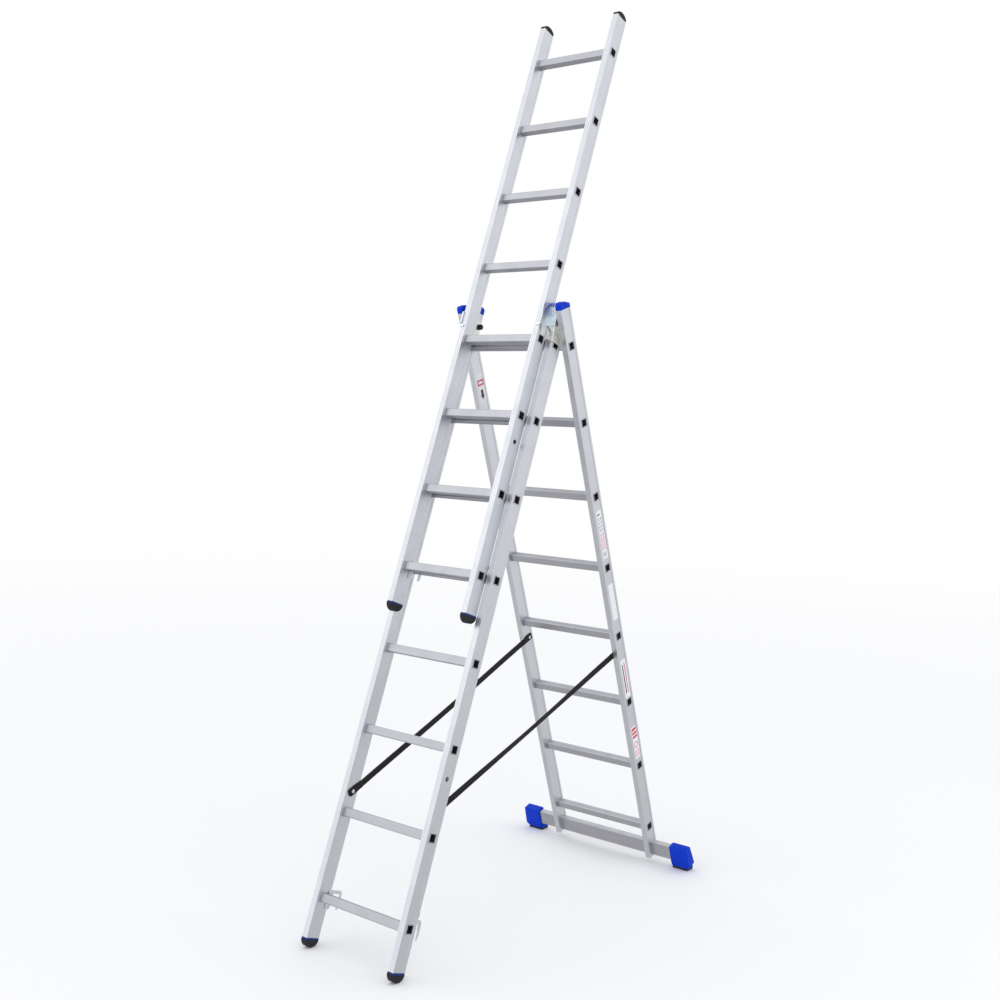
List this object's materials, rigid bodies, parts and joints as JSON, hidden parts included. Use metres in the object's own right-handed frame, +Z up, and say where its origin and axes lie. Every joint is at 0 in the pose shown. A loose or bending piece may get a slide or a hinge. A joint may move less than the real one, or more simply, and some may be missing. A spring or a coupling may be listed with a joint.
{
  "type": "combination ladder",
  "caption": "Aluminium combination ladder in three sections with square rungs, standing as an A-frame on a stabiliser bar with its top section extended.",
  "frame": {"origin": "on the floor at the middle of the footprint, under the hinge axis, centred between the stiles", "axes": "+Z up; +X to the right seen from the climbing side; the climbing side (middle and top sections) faces -Y and the stabiliser bar is at +Y"},
  "size_m": [0.796, 1.5262, 3.2292],
  "materials": {
    "stile_aluminium": "extruded, satin",
    "rung_aluminium": "extruded with fine ribs, satin",
    "bar_aluminium": "extruded, satin",
    "zinc_steel": "bright zinc plate with a faint blue cast",
    "rivet_metal": "bright",
    "blue_plastic": "moulded, satin",
    "black_rubber": "moulded, matte",
    "black_plastic": "moulded, satin",
    "red_plastic": "moulded, satin",
    "black_webbing": "woven polyester"
  },
  "bodies": {
    "middle_section": {"middle_rung_1": "rung_aluminium", "middle_rung_2": "rung_aluminium", "middle_rung_3": "rung_aluminium", "middle_rung_4": "rung_aluminium", "middle_rung_5": "rung_aluminium", "middle_rung_6": "rung_aluminium", "middle_rung_7": "rung_aluminium", "middle_rung_8": "rung_aluminium", "middle_left_stile": "stile_aluminium", "middle_right_stile": "stile_aluminium", "middle_foot_plugs": "blue_plastic", "middle_feet": "black_rubber", "middle_end_caps": "blue_plastic", "left_guide": "zinc_steel", "right_guide": "zinc_steel", "left_hinge_bracket": "zinc_steel", "right_hinge_bracket": "zinc_steel", "hinge_pins": "rivet_metal", "hinge_bolt_caps": "black_plastic", "middle_left_hook": "zinc_steel", "middle_right_hook": "zinc_steel", "left_strap": "black_webbing", "right_strap": "black_webbing", "middle_fasteners": "rivet_metal"},
    "base_section": {"base_rung_1": "rung_aluminium", "base_rung_2": "rung_aluminium", "base_rung_3": "rung_aluminium", "base_rung_4": "rung_aluminium", "base_rung_5": "rung_aluminium", "base_rung_6": "rung_aluminium", "base_rung_7": "rung_aluminium", "base_rung_8": "rung_aluminium", "base_left_stile": "stile_aluminium", "base_right_stile": "stile_aluminium", "base_end_caps": "blue_plastic", "stabiliser_bar": "bar_aluminium", "left_bar_cap": "blue_plastic", "right_bar_cap": "blue_plastic", "left_bar_pad": "black_rubber", "right_bar_pad": "black_rubber", "base_hinge_plates": "zinc_steel", "base_fasteners": "rivet_metal"},
    "top_section": {"top_rung_1": "rung_aluminium", "top_rung_2": "rung_aluminium", "top_rung_3": "rung_aluminium", "top_rung_4": "rung_aluminium", "top_rung_5": "rung_aluminium", "top_rung_6": "rung_aluminium", "top_rung_7": "rung_aluminium", "top_rung_8": "rung_aluminium", "top_left_stile": "stile_aluminium", "top_right_stile": "stile_aluminium", "top_foot_plugs": "blue_plastic", "top_feet": "black_rubber", "top_end_caps": "black_rubber", "top_left_hook": "zinc_steel", "top_right_hook": "zinc_steel", "top_fasteners": "rivet_metal"},
    "middle_latch": {"middle_latch": "red_plastic"},
    "top_latch": {"top_latch": "red_plastic"}
  },
  "joints": [
    {"name": "base_fold", "type": "hinge", "parent": "middle_section", "child": "base_section", "pos_m": [0, -0.00378, 1.99627], "axis": [-1, 0, 0], "range_deg": [0, 37.6], "deforming": ["left_strap", "right_strap"]},
    {"name": "top_slide", "type": "slide", "parent": "middle_section", "child": "top_section", "axis": [0, 0.3355, 0.9421], "range_m": [0, 0.205]},
    {"name": "middle_latch_press", "type": "hinge", "parent": "middle_section", "child": "middle_latch", "pos_m": [0.1721, -0.63049, 0.15427], "axis": [1, 0, 0], "range_deg": [0, 35], "stiffness_Nm_per_rad": 0.06, "springref_deg": -17.19},
    {"name": "top_latch_press", "type": "hinge", "parent": "top_section", "child": "top_latch", "pos_m": [0.1441, -0.30377, 1.22682], "axis": [1, 0, 0], "range_deg": [0, 35], "stiffness_Nm_per_rad": 0.06, "springref_deg": -17.19}
  ]
}
